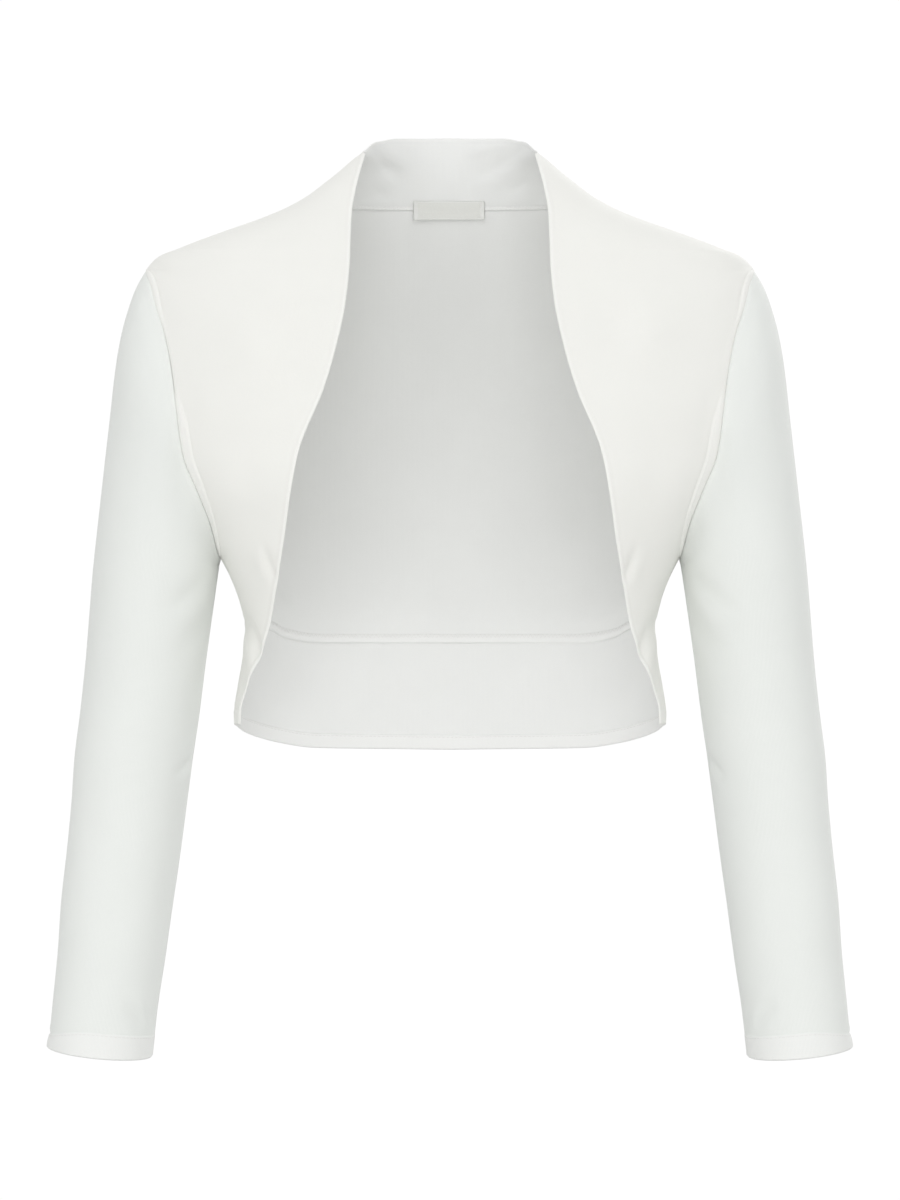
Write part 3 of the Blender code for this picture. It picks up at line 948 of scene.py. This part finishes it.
def makeLabel():
    # blank woven label over the neck seam, its lower edge free, curled away most at the wearer's right
    halfWidth, halfHeight = label["width"] / 2, label["height"] / 2
    across = np.linspace(-halfWidth, halfWidth, label["columns"] + 1)[None]
    height = np.linspace(halfHeight, -halfHeight, label["rows"] + 1)[:, None]
    across, height = np.broadcast_arrays(across, height)
    x, z = across + label["middle"][0], height + label["middle"][1]
    angle = np.sign(x) * angleAt(np.abs(x), z, False)
    sheet = Sheet(bodyPoint(angle, z), bodyNormal(angle, z))
    curl, curlAcross, curlDown = label["curl"]
    corner = softStep(-across, curlAcross, halfWidth) * softStep(-height, curlDown, halfHeight)
    free, freeDown = label["freeEdge"]
    wave, turn, start = label["ripple"]
    stand = (label["stand"] + curl * corner + free * softStep(-height, freeDown, halfHeight)
             + wave * np.sin(across * turn + start))
    ends = softStep(halfWidth - np.abs(across), *label["foldedEnd"])
    selvedges = softStep(halfHeight - np.abs(height), *label["selvedge"])
    thickness = label["thickness"] * (1 + label["folded"] * ends)
    doubled = np.maximum(ends, selvedges)
    piece = clothMesh("neck_label_ribbon", sheet, stand, stand + thickness, doubled, "ribbon")
    face = sheet.raised(stand + label["thickness"] * label["sewnAt"])
    sewn = [face[slice(*label["sewnRows"]), column] for column in label["sewnColumns"]]
    threads = sew("neck_label_stitches", sewn, "stitches",
                  {"Spacing": label["spacing"], "Stitch Length": label["stitch"],
                   "Thread": sewing["thread"]})
    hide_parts("neck_label")


makeLabel()
print("back, collar and label made")

# Waistband across the back, its hem doubled
band = {
    "columns": 170,
    "thickness": 0.9,
    "unevenness": (0.5, 110, 17),
    "hemStitches": (2, -2),
    "folds": [
        (-146, -302, -128, -352, -3, 8, -1.1),
        (140, -306, 118, -366, 3, 9, -1.3),
        (-66, -312, -58, -372, 2, 13, -0.9),
        (36, -314, 44, -378, -2, 15, -0.8),
    ],
}


def makeWaistband():
    sheet = bodySheet(bandRows, betweenSides(band["columns"]))
    sheet.relief += panelRelief(sheet.points, band)
    hem = hemOf(sheet, lowerHem["width"])
    sheet.relief += lowerHem["relief"] * hem
    thickness = mix(band["thickness"], lowerHem["thickness"], hem)
    thickness = sewEdges(sheet, thickness, (sheet.top, sheet.sides))
    stitches = sewLowerHem("waistband", sheet, band["hemStitches"])
    piece = clothMesh("waistband_cloth", sheet, 0, thickness, hem, "backJersey")
    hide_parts("waistband")


makeWaistband()
print("waistband made")

# Sleeves
sleeve = {
    "columns": 144,
    "crownRows": 66,
    "armRows": 150,
    "cuffRows": 66,
    "cuffTop": -570.0,  # below it the rows lie closer
    "end": -592.6,
    "eased": (22, 16, 40),  # rows above and below the turn from the head into the arm, rounds
    "thickness": 0.8,
    "hemThickness": 1.8,
    "hemRelief": 0.25,
    "stitchInset": 1.4,
    "fullness": 5.0,
    "flare": (1.2, 40, 13),  # of the cuff's hem at its outer side: how far, degrees, height
    "swell": (28, 9),  # of the shoulder tip: degrees, height
    "cuffTilt": 0.103,
    "unevenness": (0.55, 110, 23),
    "unevenFrom": (3, 30),  # from the armhole seam
    "mmPerDegree": 0.7,
    # from degrees round, height to degrees round, height, bow, width, depth; 0 outer, 90 front
    "folds": [
        (158, -258, 100, -292, 2, 7, -1.5),
        (172, -280, 116, -322, 3, 8, -1.1),
        (-152, -258, -92, -300, -3, 6.5, -2.6),
        (-166, -288, -100, -338, -2, 7.5, -2),
        (-128, -238, -84, -262, 2, 5.5, -1.5),
        (178, -388, 138, -403, 1, 4, -1.8),
        (-140, -382, -48, -404, 5, 6.5, -2.6),
        (-146, -410, -66, -420, -3, 6, -1.9),
        (-112, -350, -44, -368, 2, 7, -1.7),
        (-84, -432, -30, -446, 2, 7.5, -1.2),
        (-168, -520, -112, -548, 2, 8, -1.2),
        (62, -420, 104, -556, 5, 13, -0.6),
        (-40, -440, -84, -548, -4, 12, -0.9),
        (112, -556, 150, -574, 1, 4.5, -1.4),
        (-34, -577, 28, -582, 0.5, 1.8, -0.9),
        (20, -108, 44, -190, -3, 12, -0.8),
        (-26, -92, -58, -176, 4, 9, -1.8),
        (-62, -112, -96, -200, 3, 8, -1.5),
    ],
}
crownTable = readTable("fromMiddle height", [
    (0, 210.7, -50), (1 / 7, 219.5, -60.5), (2 / 7, 225.5, -76), (3 / 7, 230.6, -95),
    (4 / 7, 235.2, -124), (5 / 7, 239.8, -164), (6 / 7, 244.8, -210), (1, 250.1, -258)])
sleeveTable = readTable("centre halfWidth depthCentre halfDepth tilt", [
    (-258, 206.2, 43.9, 6, 55, 0), (-292, 210.1, 42.8, 8, 53, 0.2), (-325, 213.9, 41.8, 9, 50.5, 0.4),
    (-359, 217.8, 41.4, 8, 48, 0.6), (-393, 222.2, 40.9, 5, 46, 0.8), (-426, 225.1, 39.7, 1, 44.5, 0.9),
    (-460, 228.5, 38.9, -4, 43, 1), (-493, 232.3, 38.3, -9, 42, 1), (-527, 235.4, 37.1, -14, 41, 1),
    (-560, 239.1, 36.2, -19, 40, 1), (-596, 242.4, 35.8, -24, 39, 1)])
# how deep the cuff's hem is, by the degrees round from the outer side
cuffHemTable = readTable("depth", [(-180, 14.5), (-90, 12), (0, 8.6), (90, 16.6), (180, 14.5)])


def armholeRing():
    # from the underarm up the back, over the shoulder and down the front
    halves = []
    for forward in (False, True):
        heights = mix(body["shoulderTip"], body["underarm"], easedSteps(sleeve["columns"] // 2))
        angles = [sideAngle(height, forward) for height in heights]
        points = bodyPoint(np.array(angles), heights)
        steps = lengthsAlong(points)
        halves.append((points, np.pi * steps / steps[-1] * (1 if forward else -1)))
    points = np.concatenate([halves[0][0][:0:-1], halves[1][0]])
    turns = np.concatenate([halves[0][1][:0:-1], halves[1][1]])
    return points, turns


def armPoint(height, turn):
    across = sleeveTable["halfWidth"](height) * np.cos(turn)
    along = sleeveTable["halfDepth"](height) * -np.sin(turn)
    rise = sleeveTable["tilt"](height) * sleeve["cuffTilt"] * across
    return np.stack([sleeveTable["centre"](height) + across,
                     sleeveTable["depthCentre"](height) + along, height + rise], axis=-1)


def sleevePoints():
    start, turn = armholeRing()
    share = easedSteps(sleeve["crownRows"])[:, None]
    end = armPoint(crownTable["height"](1.0) + 0 * turn, turn)
    head = np.stack([crownTable["fromMiddle"](share), 0 * share, crownTable["height"](share)], axis=-1)
    straight = mix(head[:1], head[-1:], share[..., None])
    carried = (head - straight) * ((1 + np.cos(turn)) / 2)[None, :, None]
    full = np.zeros((len(share), len(turn), 3))
    full[..., 1] = -np.sin(turn) * sleeve["fullness"] * np.sin(np.pi * share)
    crown = mix(start[None], end[None], share[..., None]) + carried + full
    heights = np.concatenate([
        np.linspace(crownTable["height"](1.0), sleeve["cuffTop"], sleeve["armRows"])[1:],
        np.linspace(sleeve["cuffTop"] - 1, sleeve["end"], sleeve["cuffRows"])])
    arm = armPoint(heights[:, None] + 0 * turn, turn[None] + 0 * heights[:, None])
    points = np.concatenate([crown, arm])
    rowsAbove, rowsBelow, rounds = sleeve["eased"]
    first, last = sleeve["crownRows"] - rowsAbove, sleeve["crownRows"] + rowsBelow
    for _ in range(rounds):
        above = points[first - 1:last - 1]
        below = points[first + 1:last + 1]
        points[first:last] = (above + 2 * points[first:last] + below) / 4
    return points, turn


def gridNormals(points):
    around = np.empty_like(points)
    around[:, 1:-1] = points[:, 2:] - points[:, :-2]
    around[:, 0] = around[:, -1] = points[:, 1] - points[:, -2]
    return unit(np.cross(np.gradient(points, axis=0), around))


def makeSleeve(name, side):
    points, turn = sleevePoints()
    normals = gridNormals(points)
    outward = points - points.mean(axis=1, keepdims=True)
    normals *= np.sign((normals * outward).sum(axis=-1).mean())
    mirror = np.array([side, 1, 1])
    sheet = Sheet(points * mirror, normals * mirror)
    degrees = np.degrees(turn)[None] + 0 * sheet.first
    height = points[..., 2]
    scale = sleeve["mmPerDegree"]
    folds = np.array(sleeve["folds"]) * (scale, 1, scale, 1, 1, 1, 1)
    sheet.relief += foldRelief(degrees * scale, height, folds)
    uneven = unevenness(sheet.points, *sleeve["unevenness"])
    sheet.relief += uneven * softStep(sheet.top, *sleeve["unevenFrom"])
    hem = hemOf(sheet, cuffHemTable["depth"](degrees))
    flare, flareWidth, flareHeight = sleeve["flare"]
    sheet.relief += flare * bump(degrees, 0, flareWidth) * softStep(sheet.bottom, flareHeight, 0)
    swellWidth, swellHeight = sleeve["swell"]
    sheet.relief += seam["tipSwell"] * bump(degrees, 0, swellWidth) * bump(sheet.top, 0, swellHeight)
    sheet.relief += sleeve["hemRelief"] * hem
    thickness = mix(sleeve["thickness"], sleeve["hemThickness"], hem)
    thickness = sewEdges(sheet, thickness, (sheet.top, sheet.sides), atShoulderTip(height))
    reach = cuffHemTable["depth"](degrees[0]) - sleeve["stitchInset"]
    outside = sheet.raised(-sewing["offOutside"])
    inside = sheet.raised(sleeve["hemThickness"] + sewing["offInside"])
    paths = [pathOn(surface, sheet.bottom, reach) for surface in (outside, inside)]
    stitches = sewStitches(name + "_hem_stitches", paths)
    piece = clothMesh(name + "_cloth", sheet, 0, thickness, hem, "sleeveJersey")
    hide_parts(name)


makeSleeve("left_sleeve", 1)
makeSleeve("right_sleeve", -1)
print("sleeves made")

# Floor, light and world
studio = {
    "floorHeight": -1.42,  # as far below the neck as where the wearer would stand
    "floorSize": 7.6,
    "floorColour": rgb(0.62, 0.62, 0.61),
    "floorRoughness": 0.9,
    "roomStrength": 0.745,
    "backdropStrength": 1.02,
    "backdropEdges": (0.72, 0.92),  # how straight ahead the white backdrop starts and is full
    # name: place, aim, size, power
    "lights": {
        "key": ((0.0, -3.4, -0.6), (0, 0, -0.3), 2.0, 20.5),
        "high": ((0.0, -2.6, 1.8), (0, 0, -0.3), 1.8, 5),
        "top": ((0.0, 0.5, 2.5), (0, 0, -0.1), 1.5, 9),
        "lowLeft": ((-1.6, -2.9, -0.92), (0, 0, -0.3), 0.9, 8.5),
        "lowRight": ((1.6, -2.9, -0.92), (0, 0, -0.3), 0.9, 5),
        "behind": ((1.7, 2.5, 1.4), (0, 0, -0.25), 0.9, 27),
    },
}


def addStudio():
    world = bpy.data.worlds.new("studio")
    world.use_nodes = True
    tree = world.node_tree
    wire = Wire(tree)
    direction = wire.node("ShaderNodeTexCoord")
    ahead = wire.node("ShaderNodeSeparateXYZ", inputs={0: direction}, output=1)
    start, full = studio["backdropEdges"]
    glow = wire.node("ShaderNodeMapRange", {"interpolation_type": "SMOOTHSTEP"}, {
        "Value": ahead, "From Min": start, "From Max": full,
        "To Min": studio["roomStrength"], "To Max": studio["backdropStrength"]})
    tree.nodes["Background"].inputs["Color"].default_value = rgb(1, 1, 1)
    glow.into(tree.nodes["Background"], "Strength")
    bpy.context.scene.world = world
    bpy.context.scene.view_settings.view_transform = "Standard"
    for name, (place, aim, size, power) in studio["lights"].items():
        data = bpy.data.lights.new(name, "AREA")
        data.size = size
        data.energy = power
        lamp = newObject(name, data)
        lamp.location = place
        lamp.rotation_euler = (Vector(aim) - Vector(place)).to_track_quat("-Z", "Y").to_euler()
    bpy.ops.mesh.primitive_plane_add(size=studio["floorSize"], location=(0, 0, studio["floorHeight"]))
    floor = bpy.context.object
    floor.name = "floor"
    paint, shader, _ = newMaterial("floorPaint")
    shader.inputs["Base Color"].default_value = studio["floorColour"]
    shader.inputs["Roughness"].default_value = studio["floorRoughness"]
    floor.data.materials.append(paint)


addStudio()
print("studio made")
